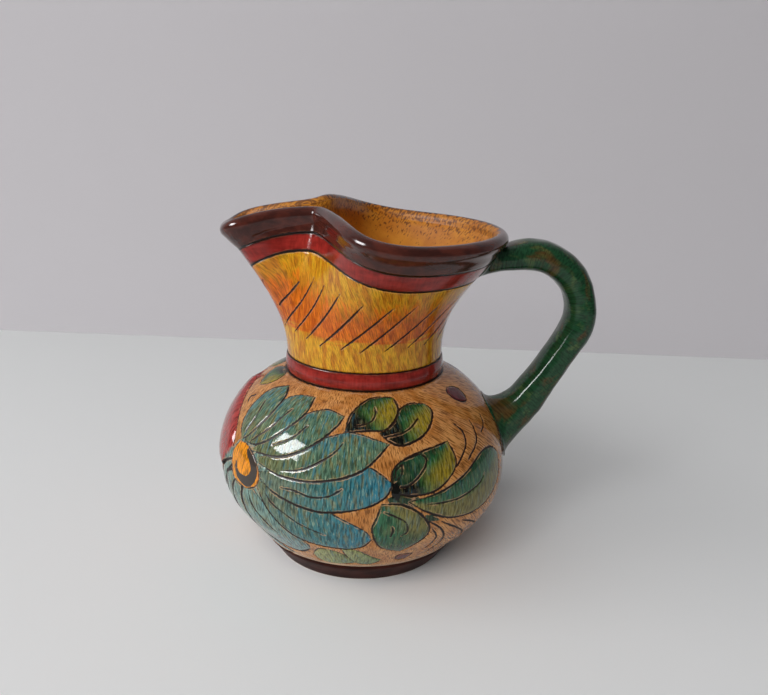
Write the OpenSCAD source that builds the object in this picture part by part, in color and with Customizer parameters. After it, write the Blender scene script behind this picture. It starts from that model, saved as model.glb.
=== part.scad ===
// Pouring jug with a pinched spout, put together as a potter does it: a turned foot ring,
// a thrown belly, a flared neck, a cordon over their seam, a lip band, a rolled rim,
// a pulled strap handle and the glaze lining that makes the clay hold water.
// Millimetres. The origin is the centre of the foot's underside, +Z is up,
// the spout points along -X and the handle stands on +X.

/* [Belly] */
// Radius at the widest place
belly_r = 60; // [56:0.5:66]
// Height of the widest place above the table
belly_z = 41.5; // [39:0.5:45]
// Radius of the hip's curve below the widest place
hip_r = 30; // [26:0.5:34]
// Height at which the neck's cordon sits on the shoulder
shoulder_z = 79.1; // [77:0.1:83]
// Thickness of the thrown wall
wall = 5; // [4:0.1:6]
// Thickness of the floor
floor_t = 6; // [4:0.1:9]

/* [Foot] */
// Height of the foot ring
foot_h = 10.3; // [8:0.1:13]
// Outer radius of the foot where it stands
foot_r = 36.7; // [34:0.1:39]
// Outer radius of the foot under the belly
foot_top_r = 43.9; // [42:0.1:47]
// Radius of the foot ring's bore
foot_bore_r = 29; // [22:0.1:31]
// Depth of the belly's boss in the foot ring
boss_h = 3; // [2:0.1:5]
// Chamfer of the foot's standing edges
foot_chamfer = 0.8; // [0.4:0.1:1.5]

/* [Cordon] */
// Height of the cordon round the neck's root
collar_h = 6.9; // [5:0.1:9]
// Thickness of the cordon
collar_t = 2.4; // [1.8:0.1:2.8]
// How far the cordon stands proud of the neck
collar_proud = 0.4; // [0.2:0.1:0.9]

/* [Neck] */
// Outer radius of the neck above the cordon
neck_r = 32; // [30:0.5:35]
// Height of the round part of the rim
rim_z = 137.9; // [134:0.1:142]
// Radius of the round part of the mouth, to the middle of the lip
mouth_r = 52.7; // [50:0.1:56]
// Thickness of the wall at the lip
lip_t = 4; // [3:0.1:5]

/* [Spout] */
// Reach of the spout's tip from the jug's axis, to the middle of the lip
spout_reach = 53; // [50:0.5:60]
// Half the width of the spout, to the middle of the lip
spout_half_w = 11; // [10:0.1:13]
// Half the width of the pinched throat behind the spout, to the middle of the lip
throat_half_w = 9.6; // [9:0.1:11]
// How far the lip rises at the pinch
pinch_rise = 9.6; // [5:0.1:12]
// Share of that rise at which the near side of the pinch levels off
near_rise_share = 0.85; // [0.7:0.05:1.2]

/* [Rim] */
// Radius of the rolled lip
roll_r = 3.1; // [2.8:0.1:3.6]
// Height of the dark rim, from its lower seam to the middle of the roll
rim_h = 8.1; // [7.5:0.1:10]
// Share of the rim's height that is lost where the pinch draws it up
pinch_thinning = 0.2; // [0:0.05:0.25]
// Height of the lip band below the rim
lip_band_h = 6.8; // [4:0.1:8]
// Height of the lap joints at the band's two seams
lap_h = 2; // [1:0.1:2.4]

/* [Handle] */
// Reach of the handle's middle line from the jug's axis
handle_reach = 87.8; // [85:0.2:94]
// Height of the handle's middle line at its top
handle_z = 128.2; // [126:0.2:130]
// Radius of the handle's bow
bow_r = 23.5; // [20:0.5:25]
// Lean of the handle's lower leg from upright
leg_lean = 35; // [30:1:40]
// Thickness of the strap
strap_t = 11; // [9:0.2:13]
// Thickness of the strap at the foot of its lower leg
leg_t = 14.2; // [13:0.2:16]
// Width of the strap
strap_w = 17; // [14:0.2:20]
// Height of the middle of the upper root
upper_root_z = 125; // [123:0.1:126]
// Width of the upper root
upper_root_w = 22; // [18:0.5:26]
// Height of the upper root
upper_root_h = 15; // [12:0.5:17]
// Height of the middle of the lower root
lower_root_z = 54; // [52:0.5:57]
// Width of the lower root
lower_root_w = 25; // [20:0.5:30]
// Height of the lower root
lower_root_h = 28; // [20:0.5:30]

/* [Glaze] */
// Thickness of the glaze that lines the inside
glaze_t = 0.6; // [0.4:0.1:1]

/* [Hidden] */

// Slip left between curved faces that are luted together
luting_gap = 0.15;
// Steps in a full turn of a turned piece
$fn = 96;

// Belly's outline: a straight skirt, the hip's arc that it is tangent to, and the shoulder's arc
collar_r = neck_r + collar_proud;
shoulder_drop = belly_r - collar_r;
shoulder_rise = shoulder_z - belly_z;
// The shoulder's radius is rounded to this grain, so that its arc meets the hip's arc exactly
grain = 0.001;
shoulder_r = grain * round((shoulder_rise ^ 2 + shoulder_drop ^ 2) / (2 * shoulder_drop) / grain);
shoulder_x = belly_r - shoulder_r;
hip_x = belly_r - hip_r;
skirt_to_hip = [foot_top_r - hip_x, foot_h - belly_z];
hip_end = atan2(skirt_to_hip[1], skirt_to_hip[0]) + acos(hip_r / norm(skirt_to_hip));
floor_z = foot_h + floor_t;
throat_r = neck_r - wall;
root_r = collar_r - collar_t;
seam_z = shoulder_z + collar_h / 2;
neck_z = shoulder_z + collar_h;

// Radius at height z of a skin lying the given depth inside the belly's outside
function hip_z(depth) = belly_z + (hip_r - depth) * sin(hip_end);
function skirt_x(z, depth) = hip_x + (hip_r - depth - (z - belly_z) * sin(hip_end)) / cos(hip_end);
function belly_x(z, depth) =
    z > belly_z ? shoulder_x + sqrt((shoulder_r - depth) ^ 2 - (z - belly_z) ^ 2)
    : z > hip_z(depth) ? hip_x + sqrt((hip_r - depth) ^ 2 - (z - belly_z) ^ 2)
    : skirt_x(z, depth);

// Mouth: one smooth closed curve led by places, from the handle's side round to the spout.
// A place holds X, Y, the share of the pinch's rise there and the bearing of the wall's root below it.
cup_bearing = 25;
curve_pull_share = (2 + cos(cup_bearing)) / 3;
cup_places = [for (i = [0:3]) let (a = i * cup_bearing, r = mouth_r / curve_pull_share)
    [r * cos(a), r * sin(a), 0, a]];
pinch_shares = [[-0.026, 1.015, 0.32, 97], [-0.165, 0.71, 0.75, 117]];
throat_shares = [[0.31, 1.13, 1.2, 134], [0.375, 0.85, 0.94, 147]];
spout_shares = [[0.66, 0.77, 0.76, 157], [0.895, 1.2, 0.46, 165], [0.985, 1.06, 0.24, 171],
    [1.02, 0.6, 0.05, 176], [1.045, 0, 0.05, 180]];
half_places = concat(cup_places,
    [for (p = pinch_shares) [p[0] * mouth_r, p[1] * mouth_r, p[2], p[3]]],
    [for (p = throat_shares) [-p[0] * spout_reach, p[1] * throat_half_w, p[2], p[3]]],
    [for (p = spout_shares) [-p[0] * spout_reach, p[1] * spout_half_w, p[2], p[3]]]);
half_count = len(half_places) - 1;
place_count = 2 * half_count;

// Place number i of the ring; the second half, on the near side, mirrors the first but levels off
function place(i) =
    let (j = (i + place_count) % place_count,
         p = j <= half_count ? half_places[j] : half_places[place_count - j],
         q = j <= half_count ? p : [p[0], -p[1], min(p[2], near_rise_share), 360 - p[3]])
    q + [0, 0, 0, 360 * floor(i / place_count)];
// The curve at place s, an even blend of the four places about it
function mouth_at(s) =
    let (i = floor(s), f = s - i)
    ((1 - f) ^ 3 * place(i - 1) + (3 * f ^ 3 - 6 * f ^ 2 + 4) * place(i)
     + (1 + 3 * f + 3 * f ^ 2 - 3 * f ^ 3) * place(i + 1) + f ^ 3 * place(i + 2)) / 6;
function mouth_xy(s) = let (p = mouth_at(s)) [p[0], p[1]];

// Stations round the mouth: the lip's middle, the way out of the jug, the roll's height, the root's bearing
station_share = 1 / 3;
probe_share = 0.02;
stations = [for (k = [0:place_count / station_share - 1]) k * station_share];
lips = [for (s = stations) mouth_xy(s)];
outs = [for (s = stations) let (d = mouth_xy(s + probe_share) - mouth_xy(s - probe_share))
    [d[1], -d[0]] / norm(d)];
rises = [for (s = stations) mouth_at(s)[2]];
rolls_z = [for (rise = rises) rim_z - roll_r + pinch_rise * rise];
roots = [for (s = stations) let (a = mouth_at(s)[3]) [cos(a), sin(a)]];

// Share of the flare at height share t of the neck: late on the round side, early under the spout
cup_end_slope = 0.55;
spout_end_slope = 1.4;
function flare(t, root) =
    let (late = (4 - cup_end_slope) * t ^ 3 + (cup_end_slope - 3) * t ^ 4,
         early = (3 - spout_end_slope) * t ^ 2 + (spout_end_slope - 2) * t ^ 3,
         spout_share = (1 - root[0]) / 2)
    late + (early - late) * spout_share;

// Point of the neck's wall at station k, height share t and the given depth in from the outside
function wall_at(k, t, depth_share, extra = 0) =
    let (foot = roots[k] * (neck_r - wall * depth_share - extra),
         top = lips[k] + outs[k] * (lip_t / 2 - lip_t * depth_share - extra),
         p = foot + (top - foot) * flare(t, roots[k]))
    [p[0], p[1], neck_z + (rolls_z[k] - neck_z) * t];
function root_at(k, r, z) = [roots[k][0] * r, roots[k][1] * r, z];
// The roll leans out until its inner side is flush with the glaze
roll_lean = roll_r - lip_t / 2 - glaze_t;
function roll_at(k, a) =
    let (p = lips[k] + outs[k] * (roll_lean + roll_r * cos(a)))
    [p[0], p[1], rolls_z[k] + roll_r * sin(a)];

// Height shares of the seams, of the lap above each and of the cove under the roll
function share_below(k, h) = 1 - h / (rolls_z[k] - neck_z);
function rim_at(k) = rim_h * (1 - pinch_thinning * rises[k]);
function band_low(k) = share_below(k, rim_at(k) + lip_band_h);
function band_top(k) = share_below(k, rim_at(k));
function lap_low(k) = share_below(k, rim_at(k) + lip_band_h - lap_h);
function lap_top(k) = share_below(k, rim_at(k) - lap_h);
cove_share = 1.1;
function cove(k) = share_below(k, cove_share * roll_r);
// Depth of the laps in the wall, and steps up the neck, the band and the rim
lap_depth_share = 0.5;
neck_steps = 10;
band_steps = 3;
rim_steps = 2;
// Points up or down one side of the wall, from share t0 to share t1 in n steps
function run(k, t0, t1, n, depth_share, extra = 0) =
    [for (i = [0:n]) wall_at(k, t0 + (t1 - t0) * i / n, depth_share, extra)];

function last(list) = len(list) - 1;

// Solid ring: one closed section at each station
module ring(sections) {
    m = len(sections[0]);
    n = len(sections);
    polyhedron(
        points = [for (section = sections) for (p = section) p],
        faces = [for (i = [0:n - 1]) for (j = [0:m - 1])
            let (i2 = (i + 1) % n, j2 = (j + 1) % m)
            for (f = [[i * m + j, i2 * m + j2, i2 * m + j], [i * m + j, i * m + j2, i2 * m + j2]]) f],
        convexity = 10);
}

// Solid stack: loops of points one after another, closed by a point at each end
module stack(first, loops, end) {
    m = len(loops[0]);
    n = len(loops);
    tip = n * m;
    polyhedron(
        points = concat([for (loop = loops) for (p = loop) p], [first, end]),
        faces = concat(
            [for (i = [0:n - 2]) for (j = [0:m - 1])
                let (j2 = (j + 1) % m)
                for (f = [[i * m + j, (i + 1) * m + j, (i + 1) * m + j2],
                          [i * m + j, (i + 1) * m + j2, i * m + j2]]) f],
            [for (j = [0:m - 1]) [tip, j, (j + 1) % m]],
            [for (j = [0:m - 1]) [tip + 1, (n - 1) * m + (j + 1) % m, (n - 1) * m + j]]),
        convexity = 10);
}

// Half outline, from the axis out, of the space within a skin of the belly.
// The skirt's upper end is tucked just under the hip's arc, so that the two cross cleanly.
skirt_tuck = 0.02;
module belly_half(depth, z_low, z_top) {
    tuck_r = hip_r - depth - skirt_tuck;
    intersection() {
        translate([shoulder_x, belly_z]) circle(shoulder_r - depth);
        translate([0, belly_z]) square([belly_r, z_top - belly_z]);
    }
    intersection() {
        translate([hip_x, belly_z]) circle(hip_r - depth);
        translate([0, z_low]) square([belly_r, belly_z - z_low]);
    }
    polygon([[0, z_low], [skirt_x(z_low, depth), z_low],
        [hip_x + tuck_r * cos(hip_end), belly_z + tuck_r * sin(hip_end)], [hip_x, belly_z], [0, belly_z]]);
}

module foot_ring() {
    color("#43211d")
    rotate_extrude()
    polygon([[foot_bore_r, foot_chamfer], [foot_bore_r + foot_chamfer, 0], [foot_r - foot_chamfer, 0],
        [foot_r + foot_chamfer * (foot_top_r - foot_r) / foot_h, foot_chamfer],
        [foot_top_r, foot_h], [foot_bore_r, foot_h]]);
}

module belly() {
    color("#b88748")
    rotate_extrude()
    difference() {
        union() {
            belly_half(0, foot_h, shoulder_z);
            translate([0, foot_h - boss_h]) square([foot_bore_r - luting_gap, boss_h]);
            translate([0, belly_z]) square([root_r - luting_gap, seam_z - belly_z]);
        }
        belly_half(wall, floor_z, shoulder_z);
        translate([0, belly_z]) square([throat_r, seam_z]);
    }
}

module collar_band() {
    color("#8c2622")
    translate([0, 0, shoulder_z])
    difference() {
        cylinder(r = collar_r, h = collar_h);
        translate([0, 0, -collar_h / 2]) cylinder(r = root_r, h = 2 * collar_h);
    }
}

module neck() {
    root_outer = root_r - luting_gap;
    color("#d9a441")
    ring([for (k = [0:last(stations)]) concat(
        run(k, 0, band_low(k), neck_steps, 0),
        run(k, band_low(k), lap_low(k), 1, lap_depth_share),
        run(k, lap_low(k), 0, neck_steps, 1),
        [root_at(k, throat_r, seam_z), root_at(k, root_outer, seam_z), root_at(k, root_outer, neck_z)])]);
}

module lip_band() {
    color("#9a2f25")
    ring([for (k = [0:last(stations)]) concat(
        run(k, band_low(k), band_top(k), band_steps, 0),
        run(k, band_top(k), lap_top(k), 1, lap_depth_share),
        run(k, lap_top(k), lap_low(k), band_steps, 1),
        run(k, lap_low(k), band_low(k), 1, lap_depth_share))]);
}

module rim() {
    roll_start = -45;
    roll_end = 195;
    roll_step = 24;
    color("#43211d")
    ring([for (k = [0:last(stations)]) concat(
        run(k, band_top(k), cove(k), rim_steps, 0),
        [for (a = [roll_start:roll_step:roll_end]) roll_at(k, a)],
        run(k, cove(k), lap_top(k), 1, 1),
        run(k, lap_top(k), band_top(k), 1, lap_depth_share))]);
}

// Handle: a strap swept along a level top, a round bow and a leaning leg, with a flared root at each end
bow_x = handle_reach - bow_r;
bow_z = handle_z - bow_r;
loop_points = 24;
strap_power_share = 0.8;
function soft(c) = sign(c) * abs(c) ^ strap_power_share;
strap_loop = [for (j = [0:loop_points - 1]) let (a = -360 * j / loop_points) [soft(cos(a)), soft(sin(a))]];
// Loop of the strap at (x, z) on its middle line, where the outward way leans a from level.
// A share of the leg's extra thickness is added on the outside.
function strap_at(x, z, a, share) =
    let (t = strap_t + (leg_t - strap_t) * share, shift = (t - strap_t) / 2)
    [for (p = strap_loop) let (h = shift + p[0] * t / 2)
        [x + h * cos(a), p[1] * strap_w / 2, z + h * sin(a)]];

// Radius of the jug's outside behind the upper root: the neck's wall or the roll, whichever stands out
function jug_x(z) =
    let (t = (z - neck_z) / (rim_z - roll_r - neck_z),
         wall_r = neck_r + (mouth_r + lip_t / 2 - neck_r) * flare(t, [1, 0]),
         h = min(roll_r, abs(z - rim_z + roll_r)))
    max(wall_r, z > rim_z - 2 * roll_r ? mouth_r + roll_lean + sqrt(roll_r ^ 2 - h ^ 2) : 0) + luting_gap;
function on_neck(y, z) = [sqrt(jug_x(z) ^ 2 - y ^ 2), y, z];
function on_belly(y, z) = [sqrt((belly_x(z, 0) + luting_gap) ^ 2 - y ^ 2), y, z];
function upper_root(share) = [for (p = strap_loop)
    on_neck(p[1] * share * upper_root_w / 2, upper_root_z + p[0] * share * upper_root_h / 2)];
function lower_root(share) = [for (p = strap_loop)
    on_belly(p[1] * share * lower_root_w / 2, lower_root_z - p[0] * share * lower_root_h / 2)];

// Loops that run from loop a, leaving it along way_a, and spread out onto loop b about its middle
spread_share = 0.9;
root_run_share = 0.6;
function fillet(a, way_a, b, middle, n) = [for (i = [1:n - 1]) let (f = i / n)
    [for (j = [0:last(a)])
        (1 + 2 * f) * (1 - f) ^ 2 * a[j] + f * (1 - f) ^ 2 * way_a
        + f ^ 2 * (3 - 2 * f) * b[j] + f ^ 2 * (f - 1) * spread_share * (b[j] - middle)]];
function flip(list) = [for (i = [last(list):-1:0]) list[i]];

module handle() {
    leg_way = [-sin(leg_lean), 0, -cos(leg_lean)];
    bow_end = [bow_x + bow_r * cos(leg_lean), 0, bow_z - bow_r * sin(leg_lean)];
    root_run = lower_root_h * root_run_share;
    leg_run = (bow_end[2] - lower_root_z) / cos(leg_lean) - root_run;
    bow_steps = 18;
    leg_steps = 5;
    upper_steps = 6;
    lower_steps = 8;
    bow_loops = [for (i = [0:bow_steps]) let (a = 90 - (90 + leg_lean) * i / bow_steps)
        strap_at(bow_x + bow_r * cos(a), bow_z + bow_r * sin(a), a, 0)];
    leg_loops = [for (i = [1:leg_steps]) let (p = bow_end + leg_way * leg_run * i / leg_steps)
        strap_at(p[0], p[2], -leg_lean, i / leg_steps)];
    upper_middle = on_neck(0, upper_root_z);
    lower_middle = on_belly(0, lower_root_z);
    root_shares = [1 / 3, 2 / 3, 1];
    color("#4a4a26")
    stack(upper_middle,
        concat(
            [for (share = root_shares) upper_root(share)],
            flip(fillet(bow_loops[0], [upper_middle[0] - bow_x, 0, 0], upper_root(1), upper_middle,
                upper_steps)),
            bow_loops,
            leg_loops,
            fillet(leg_loops[last(leg_loops)], leg_way * root_run, lower_root(1), lower_middle,
                lower_steps),
            flip([for (share = root_shares) lower_root(share)])),
        lower_middle);
}

module glaze_lining() {
    throat_bend = acos((throat_r - shoulder_x) / (shoulder_r - wall));
    hip_steps = 4;
    shoulder_steps = 8;
    bends = concat(
        [for (i = [0:hip_steps]) [hip_x, hip_r, hip_end * (1 - i / hip_steps)]],
        [for (i = [1:shoulder_steps]) [shoulder_x, shoulder_r, throat_bend * i / shoulder_steps]]);
    // Loops of the skin that lies the given depth in from the inside of the clay, floor first
    function belly_loops(depth) = concat(
        [[skirt_x(floor_z + depth, wall + depth), floor_z + depth]],
        [for (b = bends) let (r = b[1] - wall - depth)
            [min(b[0] + r * cos(b[2]), b == bends[last(bends)] ? throat_r - depth : belly_r),
             belly_z + r * sin(b[2])]]);
    function skin(depth) = concat(
        [for (p = belly_loops(depth)) [for (k = [0:last(stations)]) root_at(k, p[0], p[1])]],
        [for (i = [0:neck_steps]) [for (k = [0:last(stations)])
            wall_at(k, cove(k) * i / neck_steps, 1, depth)]]);
    color("#c98a3a")
    stack([0, 0, floor_z], concat(skin(0), flip(skin(glaze_t))), [0, 0, floor_z + glaze_t]);
}

foot_ring();
belly();
collar_band();
neck();
lip_band();
rim();
handle();
glaze_lining();
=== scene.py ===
"""Looks of a hand-thrown pouring jug with an incised and painted glaze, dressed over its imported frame.

Shapes are worked in millimetres and set down in metres, in the frame's own axes: the origin is
the centre of the foot's underside, +Z is up, the spout points along -X, the handle stands on +X.
A place on the painted belly is (turn, rise) in degrees on an even map of it: the turn about the
axis from the handle, and the rise above the widest place, so that a motif keeps its shape.
"""
import math
from dataclasses import dataclass, field
from functools import cached_property

import bmesh
import bpy
import numpy as np
from mathutils import Matrix, Vector, kdtree, noise
from mathutils.bvhtree import BVHTree


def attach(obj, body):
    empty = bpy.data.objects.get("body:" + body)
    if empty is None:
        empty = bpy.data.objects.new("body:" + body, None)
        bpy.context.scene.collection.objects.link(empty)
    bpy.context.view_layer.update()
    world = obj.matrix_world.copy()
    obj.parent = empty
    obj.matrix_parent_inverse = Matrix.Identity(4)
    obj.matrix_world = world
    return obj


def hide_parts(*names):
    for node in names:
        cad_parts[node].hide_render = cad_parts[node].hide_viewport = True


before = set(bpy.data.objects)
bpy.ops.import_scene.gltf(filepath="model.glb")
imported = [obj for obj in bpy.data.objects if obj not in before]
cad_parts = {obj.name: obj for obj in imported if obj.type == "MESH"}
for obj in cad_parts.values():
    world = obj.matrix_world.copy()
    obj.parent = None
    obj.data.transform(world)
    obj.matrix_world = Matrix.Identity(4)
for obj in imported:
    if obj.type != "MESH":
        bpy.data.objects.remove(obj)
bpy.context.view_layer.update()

MM = 0.001

# Belly, foot and cordon, as the frame has them
BELLY_R, BELLY_Z = 60.0, 41.5
HIP_R, SHOULDER_R = 30.0, 39.251
SHOULDER_Z, COLLAR_R, COLLAR_H = 79.1, 32.4, 6.9
ROOT_R, THROAT_R, SEAM_Z = 29.85, 27.0, 82.55
WALL, FLOOR_Z = 5.0, 16.3
FOOT_H, FOOT_R, FOOT_TOP_R, FOOT_BORE_R = 10.3, 36.7, 43.9, 29.0
BOSS_R, BOSS_Z = 28.85, 7.3
HIP_X, SHOULDER_X = BELLY_R - HIP_R, BELLY_R - SHOULDER_R
HIP_END = -math.radians(36.6)
NECK_Z = SHOULDER_Z + COLLAR_H

# Handle's middle line: a level top, a round bow and a leaning leg
BOW_X, BOW_Z, BOW_R = 64.3, 104.7, 23.5
LEG_LEAN = math.radians(35)


# Camera and light

class Nodes:
    """A node tree with short ways to add to it."""

    def __init__(self, tree):
        self.tree = tree

    def put(self, socket, value):
        """Link a socket to another node's output, or set it."""
        if isinstance(value, bpy.types.NodeSocket):
            self.tree.links.new(value, socket)
        else:
            socket.default_value = value

    def add(self, kind, inputs=(), **settings):
        """New node with its settings and its (socket, value) inputs."""
        node = self.tree.nodes.new(kind)
        for key, value in settings.items():
            setattr(node, key, value)
        for socket, value in inputs:
            self.put(node.inputs[socket], value)
        return node

    def math(self, operation, first, second):
        """Sum, product or the like of two values."""
        return self.add("ShaderNodeMath", [(0, first), (1, second)], operation=operation).outputs[0]


def add_camera():
    """The photograph's viewpoint: in front of the jug, above its rim and a little tilted."""
    place = (0, -0.320, 0.18353)
    pitch, yaw, roll = 0.292873, 0.024944, 0.029321
    ahead = Vector((math.sin(yaw) * math.cos(pitch), math.cos(yaw) * math.cos(pitch), -math.sin(pitch)))
    level = Vector((math.cos(yaw), -math.sin(yaw), 0))
    above = level.cross(ahead)
    right = math.cos(roll) * level + math.sin(roll) * above
    up = math.cos(roll) * above - math.sin(roll) * level
    data = bpy.data.cameras.new("viewpoint")
    data.sensor_width = 36
    data.lens = 37.556
    data.clip_start = 0.01
    camera = bpy.data.objects.new("viewpoint", data)
    axes = Matrix((right, up, -ahead)).transposed().to_4x4()
    camera.matrix_world = Matrix.Translation(place) @ axes
    bpy.context.scene.collection.objects.link(camera)
    bpy.context.scene.camera = camera


def add_window(name, toward, distance, width, height, watts, colour):
    """A soft lamp shaped like a window, standing off the jug in the given direction."""
    jug_middle = Vector((0, 0, 0.07))
    data = bpy.data.lights.new(name, "AREA")
    data.shape = "RECTANGLE"
    data.size = width
    data.size_y = height
    data.energy = watts
    data.color = colour
    lamp = bpy.data.objects.new(name, data)
    way = Vector(toward).normalized()
    lamp.location = jug_middle + way * distance
    lamp.rotation_euler = way.to_track_quat("Z", "Y").to_euler()
    bpy.context.scene.collection.objects.link(lamp)
    return lamp


def add_room(bright_side, dim, bright, backdrop, colour):
    """Even light from all round, brightest from one side; no darker than a backdrop where it shows."""
    world = bpy.data.worlds.new("room")
    world.use_nodes = True
    n = Nodes(world.node_tree)
    way = n.add("ShaderNodeTexCoord").outputs["Generated"]
    toward = Vector(bright_side).normalized()
    facing = n.add("ShaderNodeVectorMath", [(0, way), (1, toward)], operation="DOT_PRODUCT").outputs["Value"]
    level = n.add("ShaderNodeMapRange", [(0, facing), (1, -0.3), (2, 1.0), (3, dim), (4, bright)])
    ray = n.add("ShaderNodeLightPath").outputs
    shows = n.math("MAXIMUM", ray["Is Camera Ray"], ray["Is Glossy Ray"])
    shows = n.math("MAXIMUM", shows, ray["Is Transmission Ray"])
    sky = n.tree.nodes["Background"]
    n.put(sky.inputs["Color"], colour)
    n.put(sky.inputs["Strength"], n.math("MAXIMUM", n.math("MULTIPLY", shows, backdrop), level.outputs[0]))
    bpy.context.scene.world = world


def light_jug():
    """A dim room, a small window that only glints in the glaze, and two broad ones that light the paint."""
    cool, warm = (0.97, 0.98, 1.0), (1.0, 0.99, 0.98)
    add_room((-0.55, 0.45, 0.7), dim=0.02, bright=0.3, backdrop=0.12, colour=(*cool, 1))
    glint = add_window("window", (-0.79, -0.36, 0.44), 0.85, width=0.37, height=0.27, watts=8.6, colour=cool)
    glint.visible_diffuse = False
    daylight = {"distance": 2, "height": 1.3, "colour": warm}
    left = add_window("left_daylight", (-0.84, -0.33, 0.62), width=2.1, watts=16.5, **daylight)
    front = add_window("front_daylight", (-0.35, -0.85, 0.7), width=1.3, watts=22, **daylight)
    for lamp in (left, front):
        lamp.visible_glossy = False


# Colours and finishes

def shade(red, green, blue):
    """Linear colour from screen values between 0 and 255."""
    linear = [((c / 255 + 0.055) / 1.055) ** 2.4 if c > 10 else c / 255 / 12.92 for c in (red, green, blue)]
    return (*linear, 1.0)


TAN = shade(214, 152, 88)
TAN_DEEP = shade(184, 118, 56)
HATCH = shade(112, 66, 28)
TEAL = shade(86, 118, 96)
BLUE_TEAL = shade(60, 116, 118)
PALE_TEAL = shade(116, 148, 138)
BLUE = shade(54, 122, 144)
OLIVE = shade(122, 112, 64)
PALE = shade(176, 190, 156)
LEAF_BLACK = shade(14, 14, 11)
LEAF_DARK = shade(26, 54, 34)
LEAF_GREEN = shade(38, 98, 52)
LEAF_TEAL = shade(48, 100, 68)
LEAF_YELLOW = shade(160, 136, 36)
LEAF_OLIVE = shade(128, 118, 60)
PETAL_RED = shade(166, 62, 58)
SPROUT = shade(150, 158, 96)
EYE = shade(236, 148, 22)
EYE_EDGE = shade(178, 92, 34)
SEED = shade(96, 38, 44)
COMMA = shade(64, 56, 50)
INK = shade(32, 17, 11)
BURR = shade(196, 150, 112)
# Pale of bare clay, also used for a painted highlight along the belly's lowest edge
BARE_CLAY_AND_HIGHLIGHT = shade(210, 180, 150)
YELLOW, YELLOW_DEEP = shade(219, 162, 34), shade(194, 122, 24)
ORANGE, ORANGE_DEEP = shade(218, 114, 22), shade(188, 86, 18)
RED, RED_DEEP, RED_POOL = shade(162, 46, 38), shade(130, 34, 28), shade(70, 20, 16)
BROWN, BROWN_DEEP = shade(88, 40, 30), shade(60, 27, 21)
AMBER, AMBER_DEEP, AMBER_FLECK = shade(200, 130, 38), shade(180, 108, 28), shade(98, 52, 16)
STRAP_GREEN, STRAP_BROWN, STRAP_OLIVE = shade(26, 66, 40), shade(76, 58, 28), shade(88, 104, 56)
PALE_TABLE, PALE_WALL = shade(242, 243, 244), shade(206, 203, 207)


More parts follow.
